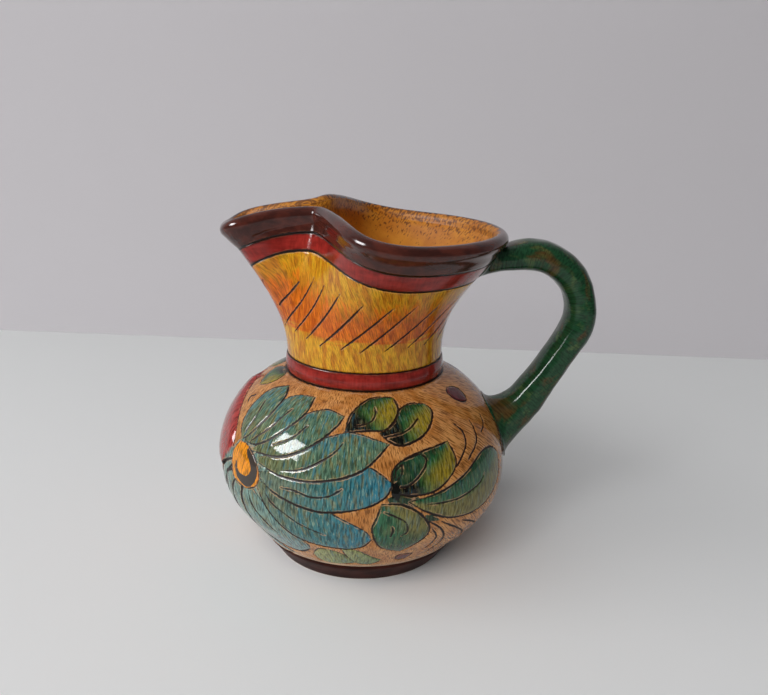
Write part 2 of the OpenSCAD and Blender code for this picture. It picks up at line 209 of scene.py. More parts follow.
class Finish(Nodes):
    """A finish under construction: its node tree, its shader and short ways to lay looks on it."""

    def __init__(self, name, shine=0.32):
        self.material = bpy.data.materials.new(name)
        self.material.use_nodes = True
        super().__init__(self.material.node_tree)
        self.shader = self.tree.nodes["Principled BSDF"]
        self.shader.inputs["Specular IOR Level"].default_value = shine

    @cached_property
    def chart(self):
        """The piece's own map."""
        return self.add("ShaderNodeUVMap", uv_map="chart").outputs["UV"]

    def field(self, name):
        """A value kept at the piece's points."""
        return self.add("ShaderNodeAttribute", attribute_name=name).outputs["Fac"]

    def part(self, coords, axis):
        """One coordinate of a place."""
        return self.add("ShaderNodeSeparateXYZ", [(0, coords)]).outputs[axis]

    def mottle(self, size, turn=0.0, detail=3.0, rough=0.55, coords=None):
        """Cloudy value on the chart whose blots have the given size, turned by some degrees."""
        at = self.chart if coords is None else coords
        spin = (0, 0, math.radians(turn))
        placed = self.add("ShaderNodeMapping", [("Vector", at), ("Rotation", spin), ("Scale", size)],
                          vector_type="TEXTURE")
        cloud = self.add("ShaderNodeTexNoise", [("Vector", placed.outputs[0]), ("Scale", 1.0),
                                                ("Detail", detail), ("Roughness", rough)])
        return cloud.outputs[0]

    def span(self, value, start, end, low=0.0, high=1.0):
        """Value carried smoothly from one range to another."""
        return self.add("ShaderNodeMapRange",
                        [(0, value), (1, start), (2, end), (3, low), (4, high)],
                        interpolation_type="SMOOTHSTEP").outputs[0]

    def sway(self, value, cloud, reach):
        """Value moved up or down by a cloudy one, by the given reach at most."""
        return self.math("ADD", value, self.span(cloud, 0.3, 0.7, -reach, reach))

    def between(self, share, first, second):
        """Value between two others."""
        return self.add("ShaderNodeMix", [(0, share), (2, first), (3, second)], data_type="FLOAT").outputs[0]

    def mix(self, share, first, second, blend="MIX"):
        """Blend of two colours."""
        return self.add("ShaderNodeMix", [(0, share), (6, first), (7, second)],
                        data_type="RGBA", blend_type=blend).outputs[2]

    def tone(self, colour, value):
        """Colour made darker or lighter by a value."""
        grey = self.add("ShaderNodeCombineColor", [(0, value), (1, value), (2, value)]).outputs[0]
        return self.mix(1.0, colour, grey, "MULTIPLY")

    def inked(self, colour, burr=0.75):
        """Dark incised lines with a broken pale burr beside them, and on the foot a line of painted shade;
        gives the colour and the lines' share.
        """
        line = self.sway(self.field("line"), self.mottle((1.3, 1.3, 1.3)), 0.12)
        dark = self.span(line, -0.1, 0.12, 1.0, 0.0)
        beside = self.math("MULTIPLY", self.span(line, 0.08, 0.2), self.span(line, 0.24, 0.5, 1.0, 0.0))
        broken = self.span(self.mottle((5, 5, 5)), 0.44, 0.6, 0.0, burr)
        colour = self.mix(self.math("MULTIPLY", beside, broken), colour, BURR)
        return self.mix(dark, colour, INK), dark

    def flecked_amber(self):
        """Amber with short dark flecks that thin out down from the rim's crest."""
        drop = self.part(self.chart, "Y")
        clouds = self.mottle((12, 10, 1), 0, 3)
        flecks = self.mottle((0.75, 2.0, 1), -24, 2)
        smudges = self.mottle((5, 4, 1), -24, 2)
        reach = self.sway(self.span(drop, 2.0, 16.0, 0.13, -0.05), smudges, 0.04)
        fleck = self.span(self.math("ADD", flecks, reach), 0.6, 0.7)
        amber = self.mix(self.span(clouds, 0.35, 0.65), AMBER, AMBER_DEEP)
        return self.mix(self.math("MULTIPLY", fleck, 0.85), amber, AMBER_FLECK)

    def glaze(self, colour, rough, bump=None, depth=0.0):
        """Set the shader's colour and gloss; a value may ruffle the surface."""
        self.put(self.shader.inputs["Base Color"], colour)
        self.put(self.shader.inputs["Roughness"], rough)
        if bump is not None:
            sizes = [("Height", bump), ("Distance", depth * MM), ("Strength", 1.0)]
            ruffle = self.add("ShaderNodeBump", sizes)
            self.put(self.shader.inputs["Normal"], ruffle.outputs[0])
        return self.material


def painted_glaze():
    """The belly: brushed motifs on a hatched tan ground, cut by dark lines, under a clear glaze."""
    f = Finish("painted_glaze")
    fine = f.mottle((0.5, 4, 1), 3, 3, 0.6)
    shadow = f.mottle((0.75, 5, 1), -3, 3, 0.6)
    broad = f.mottle((1.7, 7, 1), 5, 3)
    cool = f.mottle((1.6, 9, 1), 2, 3)
    clouds = f.mottle((8, 11, 1), 20)
    paint = f.add("ShaderNodeAttribute", attribute_name="paint")
    lively = paint.outputs["Alpha"]
    brushed = paint.outputs["Color"]
    strokes = [
        (broad, 0.48, 0.64, 0.75, OLIVE),
        (cool, 0.54, 0.64, 0.6, BLUE),
        (fine, 0.56, 0.66, 0.55, PALE),
    ]
    for streak, dry, wet, strength, colour in strokes:
        share = f.math("MULTIPLY", f.span(streak, dry, wet, 0.0, strength), lively)
        brushed = f.mix(share, brushed, colour)
    brushed = f.tone(brushed, f.span(shadow, 0.36, 0.58, 0.4, 1.12))
    upright = f.mottle((0.4, 3.2, 1), 6, 2)
    slanted = f.mottle((0.55, 7.0, 1), 46, 2)
    hatch = f.between(f.span(f.part(f.chart, "X"), 286, 304), upright, slanted)
    tan = f.mix(f.span(clouds, 0.35, 0.65), TAN, TAN_DEEP)
    tan = f.mix(f.span(hatch, 0.48, 0.6, 0.0, 0.85), tan, HATCH)
    colour = f.mix(f.span(f.field("cover"), -0.12, 0.12), brushed, tan)
    colour = f.mix(f.span(f.field("comma"), -0.15, 0.15, 1.0, 0.0), colour, COMMA)
    colour, dark = f.inked(colour)
    # The bare field: a painted highlight along the belly's lowest edge, and bare clay on hidden faces
    colour = f.mix(f.field("bare"), colour, BARE_CLAY_AND_HIGHLIGHT)
    rough = f.math("ADD", f.span(dark, 0.0, 1.0, 0.05, 0.45), f.math("MULTIPLY", f.field("bare"), 0.5))
    return f.glaze(colour, rough, f.math("ADD", fine, hatch), 0.008)


def honey_glaze():
    """The neck: yellow, with a brushed orange band round its middle and incised slanting strokes."""
    f = Finish("honey_glaze")
    streak = f.mottle((0.42, 3.6, 1), 18, 3, 0.6)
    broad = f.mottle((2.4, 8, 1), 14, 3)
    brush = f.mottle((14, 1.6, 1), 4, 3)
    height = f.field("band")
    band = f.math("MULTIPLY", f.span(f.sway(height, brush, 1.6), 97.0, 99.5),
                  f.span(f.sway(height, broad, 5.0), 107.0, 116.0, 1.0, 0.0))
    patchy = f.span(broad, 0.4, 0.62)
    yellow = f.mix(patchy, YELLOW, YELLOW_DEEP)
    orange = f.mix(patchy, ORANGE, ORANGE_DEEP)
    colour = f.mix(band, yellow, orange)
    colour = f.tone(colour, f.span(streak, 0.36, 0.58, 0.58, 1.1))
    colour, dark = f.inked(colour, 0.4)
    return f.glaze(colour, f.span(dark, 0.0, 1.0, 0.14, 0.4), streak, 0.02)


def red_glaze():
    """The cordon and the lip band: a thick red, darker where it pools at the seams."""
    f = Finish("red_glaze")
    clouds = f.mottle((8, 3, 1), 0, 4)
    streak = f.mottle((0.9, 5, 1), 0, 4)
    colour = f.mix(f.span(clouds, 0.35, 0.65), RED, RED_DEEP)
    colour = f.tone(colour, f.span(streak, 0.3, 0.7, 0.78, 1.1))
    pooled = f.span(f.field("line"), 0.0, 0.9, 0.5, 0.0)
    colour = f.mix(pooled, colour, RED_POOL)
    colour, dark = f.inked(colour, 0.2)
    return f.glaze(colour, f.span(dark, 0.0, 1.0, 0.12, 0.4), clouds, 0.1)


def dark_glaze(name, shine, dullness, tone):
    """The rim and the foot: dark brown, turning to flecked amber on the rim's inner side, bare below; a tone
    below 1 darkens the brown as painted shade.
    """
    f = Finish(name, shine)
    clouds = f.mottle((9, 4, 1), 10, 4)
    edge = f.sway(f.field("across"), f.mottle((1.2, 2.4, 1), -20, 3), 0.3)
    brown = f.mix(f.span(clouds, 0.35, 0.65), BROWN, BROWN_DEEP)
    # A tone below 1 is painted shade, as on the foot under the belly.
    brown = f.tone(brown, tone)
    inner = f.span(edge, -0.45, -0.15, 1.0, 0.0)
    colour = f.mix(inner, brown, f.flecked_amber())
    # On the rim the line field marks the incised seams; on the foot it is a line of painted shade.
    colour, dark = f.inked(colour, 0.1)
    colour = f.mix(f.field("bare"), colour, BARE_CLAY_AND_HIGHLIGHT)
    dull = f.math("MULTIPLY", f.math("MAXIMUM", f.field("bare"), inner), 0.4)
    rough = f.math("ADD", f.span(clouds, 0.3, 0.7, dullness, dullness + 0.06), dull)
    return f.glaze(colour, rough, clouds, 0.12)


def amber_glaze():
    """The lining: amber, with dark flecks brushed down from the rim."""
    f = Finish("amber_glaze")
    clouds = f.mottle((10, 9, 1), 0, 4)
    return f.glaze(f.flecked_amber(), f.span(clouds, 0.3, 0.7, 0.4, 0.5), clouds, 0.1)


def green_glaze():
    """The handle: dark green, broken by brown and olive, with fine streaks across the strap."""
    f = Finish("green_glaze")
    patches = f.mottle((7, 16, 1), 12, 4)
    lights = f.mottle((4, 9, 1), 12, 4)
    streak = f.mottle((2.4, 0.7, 1), 8, 3)
    colour = f.mix(f.span(patches, 0.5, 0.64), STRAP_GREEN, STRAP_BROWN)
    colour = f.mix(f.span(lights, 0.52, 0.68, 0.0, 0.5), colour, STRAP_OLIVE)
    colour = f.tone(colour, f.span(streak, 0.32, 0.62, 0.5, 1.12))
    return f.glaze(colour, f.span(patches, 0.3, 0.7, 0.1, 0.17), f.math("ADD", streak, patches), 0.06)


def plain_matt(name, colour, grain):
    """A pale painted board with a faint unevenness, seen only from its front."""
    f = Finish(name, 0.3)
    place = f.add("ShaderNodeTexCoord").outputs["Object"]
    cloud = f.mottle((grain, grain, grain), coords=place)
    f.glaze(f.tone(colour, f.span(cloud, 0.3, 0.7, 0.985, 1.0)), 0.85)
    behind = f.add("ShaderNodeNewGeometry").outputs["Backfacing"]
    open_air = f.add("ShaderNodeBsdfTransparent").outputs[0]
    one_sided = f.add("ShaderNodeMixShader", [(0, behind), (1, f.shader.outputs[0]), (2, open_air)])
    f.put(f.tree.nodes["Material Output"].inputs["Surface"], one_sided.outputs[0])
    return f.material


# Shapes

class Wheel:
    """Half outline in the XZ plane, drawn on from its first point, then turned about the jug's axis."""

    def __init__(self, x, z):
        self.bm = bmesh.new()
        self.tip = self.bm.verts.new((x, 0, z))
        self.first = self.tip

    def line(self, x, z, steps=1):
        """Straight on to (x, z)."""
        stride = (Vector((x, 0, z)) - self.tip.co) / steps
        for _ in range(steps):
            drawn = bmesh.ops.extrude_vert_indiv(self.bm, verts=[self.tip])
            self.tip = drawn["verts"][0]
            self.tip.co += stride
        return self

    def arc(self, x, z, angle, steps):
        """On round the centre (x, z) by an angle, upwards on the outside when it is positive."""
        drawn = bmesh.ops.spin(self.bm, geom=[self.tip], cent=(x, 0, z), axis=(0, -1, 0),
                               angle=angle, steps=steps)
        self.tip = next(g for g in drawn["geom_last"] if isinstance(g, bmesh.types.BMVert))
        return self

    def close(self):
        """Back to the first point, for a ring."""
        self.bm.edges.new((self.tip, self.first))
        return self

    def turn(self, steps):
        """The solid of the outline, closed on the axis, facing outwards."""
        bmesh.ops.spin(self.bm, geom=self.bm.verts[:] + self.bm.edges[:], axis=(0, 0, 1),
                       angle=math.tau, steps=steps, use_merge=True)
        bmesh.ops.remove_doubles(self.bm, verts=self.bm.verts, dist=0.001)
        bmesh.ops.dissolve_degenerate(self.bm, edges=self.bm.edges, dist=0.0005)
        bmesh.ops.recalc_face_normals(self.bm, faces=self.bm.faces)
        return self.bm


def soften_edges(bm, width, segments, sharper_than):
    """Round every edge that is sharper than some degrees."""
    bmesh.ops.bevel(bm, geom=sharp_edges(bm, sharper_than), offset=width, affect="EDGES", segments=segments,
                    profile=0.5, material=-1, clamp_overlap=True)


def sharp_edges(bm, degrees=50):
    """Edges at which the surface turns a corner."""
    limit = math.radians(degrees)
    return [e for e in bm.edges if len(e.link_faces) == 2 and e.calc_face_angle() > limit]


def cad_copy(node):
    """Merged copy of a frame node in millimetres, its triangles joined to quads."""
    bm = bmesh.new()
    bm.from_mesh(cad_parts[node].data)
    bmesh.ops.scale(bm, vec=Vector((1, 1, 1)) / MM, verts=bm.verts)
    bmesh.ops.remove_doubles(bm, verts=bm.verts, dist=0.01)
    bmesh.ops.join_triangles(bm, faces=bm.faces, angle_face_threshold=math.radians(50),
                             angle_shape_threshold=math.pi)
    return bm


def make_object(name, bm, material=None):
    """Make a shape an object of the scene."""
    mesh = bpy.data.meshes.new(name)
    bm.to_mesh(mesh)
    bm.free()
    if material:
        mesh.materials.append(material)
    made = bpy.data.objects.new(name, mesh)
    bpy.context.scene.collection.objects.link(made)
    return made


def rounded(bm, levels, hold):
    """The shape with its facets smoothed away; hold keeps its corners, from 0 to 1."""
    crease = bm.edges.layers.float.get("crease_edge") or bm.edges.layers.float.new("crease_edge")
    for edge in sharp_edges(bm):
        edge[crease] = hold
    blank = make_object("blank", bm)
    mesh = blank.data
    smooth = blank.modifiers.new("smooth", "SUBSURF")
    smooth.levels = levels
    smooth.render_levels = levels
    made = bmesh.new()
    made.from_object(blank, bpy.context.evaluated_depsgraph_get())
    bpy.data.objects.remove(blank)
    bpy.data.meshes.remove(mesh)
    return made


def finer_near(bm, lines, reaches):
    """Split the faces that lie near the lines, once for each reach."""
    for reach in reaches:
        near = {e for f in bm.faces if lines.find(f.calc_center_median())[2] < reach for e in f.edges}
        bmesh.ops.subdivide_edges(bm, edges=list(near), cuts=1, use_grid_fill=True)


def points_of(bm):
    """Coordinates of all points of a shape."""
    return np.array([v.co for v in bm.verts])


def normals_of(bm):
    """Outward ways at all points of a shape."""
    bm.normal_update()
    return np.array([v.normal for v in bm.verts])


def turn_of(points):
    """Turn about the axis in degrees, from 0 to 360."""
    return np.degrees(np.arctan2(points[:, 1], points[:, 0])) % 360


def move_out(bm, lifts):
    """Move each point along its normal."""
    bm.normal_update()
    for vert, lift in zip(bm.verts, lifts):
        vert.co += vert.normal * lift


def relax(bm, verts, rounds):
    """Smooth some points of a shape a number of times over."""
    for _ in range(rounds):
        bmesh.ops.smooth_vert(bm, verts=verts, factor=0.5, use_axis_x=True, use_axis_y=True, use_axis_z=True)


def tree_of(points):
    """The points, ready to be asked for the nearest."""
    tree = kdtree.KDTree(len(points))
    for i, point in enumerate(points):
        tree.insert(point, i)
    tree.balance()
    return tree


def nearest(tree, points):
    """Index of the nearest of a tree's points to each point, and how far away it is."""
    found = [tree.find(p) for p in points]
    return np.array([i for _, i, _ in found]), np.array([d for _, _, d in found])


def keep_fields(bm, **fields):
    """Keep named values at each point."""
    for name, values in fields.items():
        layer = bm.verts.layers.float.new(name)
        for vert, value in zip(bm.verts, values):
            vert[layer] = float(value)


def keep_chart(bm, across, along, full_turn=None):
    """Keep the piece's own map; where it goes full circle, a face on the seam stays whole."""
    bm.verts.index_update()
    layer = bm.loops.layers.uv.new("chart")
    for face in bm.faces:
        us = [across[loop.vert.index] for loop in face.loops]
        for loop, u in zip(face.loops, us):
            if full_turn and max(us) - u > full_turn / 2:
                u += full_turn
            loop[layer].uv = (u, along[loop.vert.index])


def chart_round(bm, points, along, per_degree, further=0.0):
    """Keep a map that goes round the jug, at so much for a degree."""
    keep_chart(bm, turn_of(points) * per_degree + further, along, 360 * per_degree)


def set_down(bm, name, node, material):
    """Make the finished shape a piece that stands for its frame node."""
    for face in bm.faces:
        face.smooth = True
    bmesh.ops.scale(bm, vec=Vector((MM, MM, MM)), verts=bm.verts)
    piece = make_object(name, bm, material)
    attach(piece, "root")
    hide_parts(node)


# The even map of the belly

def belly_radius(z):
    """Outer radius of the belly at height z."""
    drop = z - BELLY_Z
    shoulder = SHOULDER_X + np.sqrt(np.maximum(SHOULDER_R ** 2 - drop ** 2, 0))
    hip = HIP_X + np.sqrt(np.maximum(HIP_R ** 2 - drop ** 2, 0))
    hip_end_z = BELLY_Z + HIP_R * math.sin(HIP_END)
    hip_end_r = HIP_X + HIP_R * math.cos(HIP_END)
    skirt = FOOT_TOP_R + (hip_end_r - FOOT_TOP_R) * (z - FOOT_H) / (hip_end_z - FOOT_H)
    return np.where(z > BELLY_Z, shoulder, np.where(z > hip_end_z, hip, skirt))


MAP_Z = np.linspace(FOOT_H, SHOULDER_Z, 800)
MAP_R = belly_radius(MAP_Z)
MAP_STRIDES = np.hypot(np.diff(MAP_Z), np.diff(MAP_R)) / (MAP_R[1:] + MAP_R[:-1]) * 2
MAP_RISE = np.degrees(np.concatenate([[0], np.cumsum(MAP_STRIDES)]))
MAP_RISE -= np.interp(BELLY_Z, MAP_Z, MAP_RISE)


def on_belly(places):
    """Points in space of (turn, rise) places."""
    turn = np.radians(places[:, 0])
    z = np.interp(places[:, 1], MAP_RISE, MAP_Z)
    r = belly_radius(z)
    return np.column_stack([r * np.cos(turn), r * np.sin(turn), z])


def places_of(points):
    """(turn, rise) places of points on the belly."""
    return np.column_stack([turn_of(points), np.interp(points[:, 2], MAP_Z, MAP_RISE)])


# Drawing

def smooth_line(places):
    """Places along a smooth curve through the given ones."""
    per_span = 16
    p = np.asarray(places, float)
    p = np.vstack([2 * p[0] - p[1], p, 2 * p[-1] - p[-2]])
    f = np.linspace(0, 1, per_span, endpoint=False)[:, None]
    spans = []
    for a, b, c, d in zip(p, p[1:], p[2:], p[3:]):
        slope, bend, twist = (c - a) / 2, (2 * a - 5 * b + 4 * c - d) / 2, (3 * b - a - 3 * c + d) / 2
        spans.append(b + slope * f + bend * f ** 2 + twist * f ** 3)
    return np.vstack(spans + [p[-2:-1]])


def even_steps(points, stride):
    """Points an even stride apart along a line in space, and each one's share of its length."""
    runs = np.concatenate([[0], np.cumsum(np.linalg.norm(np.diff(points, axis=0), axis=1))])
    count = max(int(runs[-1] / stride), 2)
    at = np.linspace(0, runs[-1], count + 1)
    return np.column_stack([np.interp(at, runs, points[:, i]) for i in range(3)]), at / runs[-1]


def ease(low, high, value):
    """Smooth step from 0 at low to 1 at high."""
    x = np.clip((value - low) / (high - low), 0, 1)
    return x * x * (3 - 2 * x)


# Half widths of drawn lines in millimetres, and pairs of them for a motif's left and right side
HEAVY, BOLD, PLAIN, THIN = 0.8, 0.5, 0.4, 0.28
SEAM_HALF = 0.5
ROUND_LEAF, UPPER_THIN, SLIGHT, UNLINED = (PLAIN, BOLD), (THIN, BOLD), (THIN, THIN), (0, 0)
BROAD, EVENLY = (HEAVY, HEAVY), (PLAIN, PLAIN)

# Brushwork of each kind of motif: its colour, how lively the strokes are, and the washes laid over it.
# A wash has a colour, a strength, the shares from base to tip over which it grows,
# and those from the right side (-1) to the left one (1).
EVEN = (-9, -8)
BRUSHWORK = {
    "petal": (TEAL, 1.0, [(OLIVE, 0.5, (0.5, 0.1), EVEN), (BLUE, 0.6, (0.05, 0.3), (0.3, 1.0))]),
    "blue_petal": (BLUE_TEAL, 0.75, [(OLIVE, 0.5, (0.6, 0.15), EVEN), (BLUE, 0.75, (0.55, 0.95), EVEN)]),
    "low_petal": (PALE_TEAL, 0.8, [(BLUE, 0.4, (0.4, 0.9), EVEN)]),
    "leaf": (LEAF_GREEN, 0.35, [(LEAF_YELLOW, 0.9, (0.3, 0.62), (0.45, -0.35)),
                                (LEAF_DARK, 0.9, EVEN, (0.2, 0.8)),
                                (LEAF_BLACK, 1.0, (0.42, 0.28), EVEN)]),
    "long": (LEAF_TEAL, 0.35, [(LEAF_OLIVE, 0.95, EVEN, (0.3, -0.2)), (LEAF_DARK, 0.7, EVEN, (0.4, 1.0))]),
    "heart": (LEAF_TEAL, 0.35, [(LEAF_OLIVE, 0.9, (0.8, 0.5), (0.1, -0.5)),
                                (LEAF_DARK, 0.5, (0.4, 0.8), EVEN)]),
    "bud": (LEAF_DARK, 0.25, [(LEAF_TEAL, 0.5, (0.2, 0.8), EVEN)]),
    "stain": (LEAF_DARK, 0.3, []),
    "stem": (LEAF_BLACK, 0.0, []),
    "sprout": (SPROUT, 0.5, [(LEAF_TEAL, 0.5, (0.3, 0.8), EVEN)]),
    "red": (PETAL_RED, 0.0, [(SEED, 0.3, (0.6, 1.0), EVEN)]),
    "seed": (SEED, 0.0, []),
    "eye": (EYE, 0.0, [(EYE_EDGE, 0.9, EVEN, (0.75, 1.0)), (EYE_EDGE, 0.9, EVEN, (-0.75, -1.0))]),
}


@dataclass
class Motif:
    """A painted petal, leaf or the like: two smooth sides from base to tip, through the places between.

    Its right side may start from a base of its own.
    """
    kind: str
    base: tuple
    tip: tuple
    left: list
    right: list
    veins: list = field(default_factory=list)
    lines: tuple = ROUND_LEAF
    right_base: tuple = None

    def __post_init__(self):
        self.right_base = self.right_base or self.base
        self.sides = [smooth_line([self.base, *self.left, self.tip]),
                      smooth_line([self.right_base, *self.right, self.tip])]
        self.outline = np.vstack([self.sides[0], self.sides[1][-2:0:-1]])

    def mirrored(self):
        """The same motif on the far side of the jug."""
        base, tip, right_base = mirrored([self.right_base, self.tip, self.base])
        left, right = mirrored(self.right), mirrored(self.left)
        veins = [mirrored(vein) for vein in self.veins]
        return Motif(self.kind, base, tip, left, right, veins, self.lines[::-1], right_base)

    def holds(self, places):
        """Whether each place lies inside the outline."""
        found = np.zeros(len(places), bool)
        low, high = self.outline.min(0), self.outline.max(0)
        close = np.flatnonzero(((places > low) & (places < high)).all(1))
        x, y = places[close, 0, None], places[close, 1, None]
        (ax, ay), (bx, by) = self.outline.T, np.roll(self.outline, -1, 0).T
        level = np.where(by == ay, 1e-9, by - ay)
        crossed = ((ay > y) != (by > y)) & (x < ax + (bx - ax) * (y - ay) / level)
        found[close] = crossed.sum(1) % 2 == 1
        return found

    def brushed(self, places):
        """Colour of each place, and how lively the brush strokes are there."""
        to_left, to_right = [np.linalg.norm(places[:, None] - side[::4], axis=2).min(1)
                             for side in self.sides]
        from_base = np.linalg.norm(places - self.sides[0][0], axis=1)
        to_tip = np.linalg.norm(places - self.sides[0][-1], axis=1)
        along = from_base / (from_base + to_tip)
        across = (to_right - to_left) / (to_right + to_left + 1e-6)
        ground, lively, washes = BRUSHWORK[self.kind]
        colour = np.tile(ground[:3], (len(places), 1))
        for wash, strength, from_to, side_to_side in washes:
            share = strength * ease(*from_to, along) * ease(*side_to_side, across)
            colour += (np.array(wash[:3]) - colour) * share[:, None]
        return np.column_stack([colour, np.full(len(places), lively)])


def mirrored(places):
    """Places on the far side of the jug."""
    sum_of_turns = 353
    return [(sum_of_turns - turn, rise) for turn, rise in places]


# The flower beside the spout, from the petals that lie underneath to those on top
PETALS = [
    Motif("low_petal", (212, 16), (196, -32),
          [(222, 22), (234, 20), (244, 12), (246, 0), (240, -14), (230, -26), (212, -33)],
          [(206, 8), (200, 0), (193, -8), (190, -20)], lines=UNLINED),
    Motif("low_petal", (214, 9), (200, -38), [(199, -10), (195, -24)],
          [(204, 4), (195, -5), (187, -16), (186, -28)], [[(200, 0), (192, -12), (191, -24)]], BROAD),
    Motif("low_petal", (217, 6), (216, -38), [(209, -12), (209, -26)],
          [(206.5, 1), (205.5, -4), (203, -12), (201, -24), (206, -34)], lines=BROAD),
    Motif("low_petal", (220, 5), (236, -36), [(219, -12), (222, -24), (230, -33)],
          [(213, -1), (210.5, -8), (210.5, -16), (213, -27), (220, -35), (230, -38)], lines=BROAD),
    Motif("low_petal", (223, 4), (248, -24), [(234, -4), (243, -12), (248, -19)],
          [(219, -3), (219, -12), (222, -23), (231, -30), (241, -30)],
          [[(224, -2), (226, -7), (231, -12), (235, -17)]], (THIN, HEAVY)),
    Motif("blue_petal", (228, 6), (274, -11.5), [(243, 3.5), (256, 1), (266, -3.5), (272, -7.5)],
          [(236, -7), (247, -16), (262, -18.5), (270, -16.5)],
          [[(232, 3), (236, -1), (242, -4), (248, -7), (257, -10)]], UPPER_THIN, right_base=(228, 4)),
    Motif("blue_petal", (229, 9), (281, 11), [(240, 12), (252, 14), (270, 17.5), (277, 14.5)],
          [(238, 3), (254, 0), (269, 2), (278, 6)], [[(240, 6), (246, 6), (252, 5), (258, 6), (263, 9)]],
          UPPER_THIN, right_base=(229, 7)),
    Motif("petal", (227, 14), (281, 26), [(243, 21), (255, 28), (266, 31)],
          [(240, 10), (255, 11), (270, 16)], [[(239, 12), (247, 14), (254, 18), (259, 22), (262, 26)]],
          UPPER_THIN, right_base=(227, 12)),
    Motif("petal", (221, 15), (261, 39), [(232, 25), (240, 36), (251, 42)],
          [(238, 17), (250, 24), (258, 33)], [[(232, 20), (240, 25), (245, 32)]], UPPER_THIN,
          right_base=(223, 15)),
    Motif("petal", (216, 17), (241, 49), [(219, 31), (225, 43), (232, 48)],
          [(224, 18), (233, 25), (241, 37)], [[(219, 17), (227, 26), (230, 32), (233, 38)]], UPPER_THIN),
    Motif("petal", (213, 16), (217, 51), [(208, 22), (206, 31), (208, 43)],
          [(218, 21), (223, 32), (223, 43)], [[(214, 20), (215, 28), (213, 36)]]),
]
EYE_MOTIF = Motif("eye", (213, 16), (222, 0), [(210, 11), (211, 5), (214, 1)],
                  [(219, 16), (225, 13), (229, 8), (228, 3)], lines=SLIGHT)
LEAVES = [
    Motif("stain", (279, 6), (292, 4), [(286, 8)], [(281, 2), (287, 1)], lines=UNLINED),
    Motif("stain", (293, -2), (300, -6), [(297, -3)], [(295, -5)], lines=UNLINED),
    Motif("leaf", (277, 31), (305, 44), [(282, 34), (288, 42), (296, 46)],
          [(281, 27), (287, 25), (298, 29), (306, 38)],
          [[(279, 29), (286, 30), (291, 32), (295, 35), (297, 37)]]),
    Motif("leaf", (262, 31), (288, 52), [(264, 41), (272, 51), (280, 53.5)],
          [(272, 32), (281, 33), (288, 42)], [[(266, 34), (270, 35), (274, 37), (276, 41), (276, 45)]]),
    Motif("long", (287, 4), (338, 9), [(299, 5.5), (311, 9), (323, 14), (332, 13.5)],
          [(294, -1), (306, -6.5), (322, -7.5), (336, -1)],
          [[(293, 2), (306, 1), (314, 2), (320, 3.5), (323, 6)]]),
    Motif("leaf", (281, 8), (307, 23.5), [(281, 14), (286, 19.5), (295, 22)],
          [(289, 6), (299, 7), (308, 14)]),
    Motif("bud", (281.5, 10), (293, 21), [(281, 15), (285, 19)], [(287, 10), (293, 14.5), (295, 18.5)],
          lines=EVENLY),
    Motif("bud", (282, 12), (285, 18), [(282.5, 15.5)], [(284.5, 14)], lines=SLIGHT),
    Motif("heart", (277, 4), (287, -23), [(275.5, -1), (274, -7), (278, -17)],
          [(285, 3), (293, -3), (296, -12)],
          [[(278, 1), (282, -1), (286, -4), (287, -8), (285, -10)],
           [(281, -5), (281.5, -7), (281, -10)]]),
    Motif("stem", (280.5, 11.5), (281, 5.5), [(280.4, 8)], [(283.4, 11), (284, 8), (283.2, 5.5)],
          lines=UNLINED),
]
SLIVERS = [
    Motif("sprout", (262, -16), (280, -31), [(269, -20), (274, -25.5)],
          [(264, -26), (268, -34), (275, -35.5)], lines=SLIGHT),
    Motif("sprout", (248, -29), (268, -34), [(252, -22), (257, -21), (263, -25)], [(250, -35), (257, -37)],
          lines=SLIGHT),
    Motif("seed", (331, 49), (335, 36), [(337, 46), (338, 41)], [(326, 46), (326, 41), (330, 37)],
          lines=EVENLY),
    Motif("seed", (286.5, -31.5), (294.5, -28), [(286.5, -27.5), (290, -26.5)],
          [(289.5, -33), (293, -31.5)], lines=EVENLY),
]
SPOUT_SIDE = [
    Motif("red", (203, 0), (169, 43), [(190, 2), (181, 10), (177, 22), (173, 36)],
          [(209, 5), (208, 14), (203, 21), (190, 31)], lines=SLIGHT),
    Motif("leaf", (190, 58), (193, 39), [(182, 56), (179, 50), (184, 44)],
          [(199, 56), (202, 50), (200, 44)], lines=SLIGHT),
]
# Loose strokes on the ground: sweeps beside the leaves, curls below them and a tick by the red petal
STROKES = [
    [(314, 30), (317, 25), (316, 20), (313, 17), (308, 13)],
    [(325, 28), (325, 24), (323, 19), (315, 14)],
    [(336, 27), (334, 23), (329, 21)],
    [(297.5, -9.5), (301, -15), (301.5, -20.5), (300, -25.5)],
    [(295, -5), (301, -10), (305, -16), (307, -24), (303, -31)],
    [(301, -7), (312.5, -15), (320, -22), (323, -28), (321, -34)],
    [(312, -10), (320, -14), (326.5, -19), (327, -24)],
    [(200, 30), (198, 32), (201, 35)],
]
# The dark comma in the eye, with half widths at its points
COMMA_RUN = [(221, 14), (224, 12), (226, 9), (226, 6), (223, 3), (219, 3), (216, 4),
             (214.5, 6.5), (213.5, 9)]
COMMA_WIDTHS = [1.5, 1.9, 1.9, 2.0, 2.2, 1.9, 1.4, 1.0, 0.6]


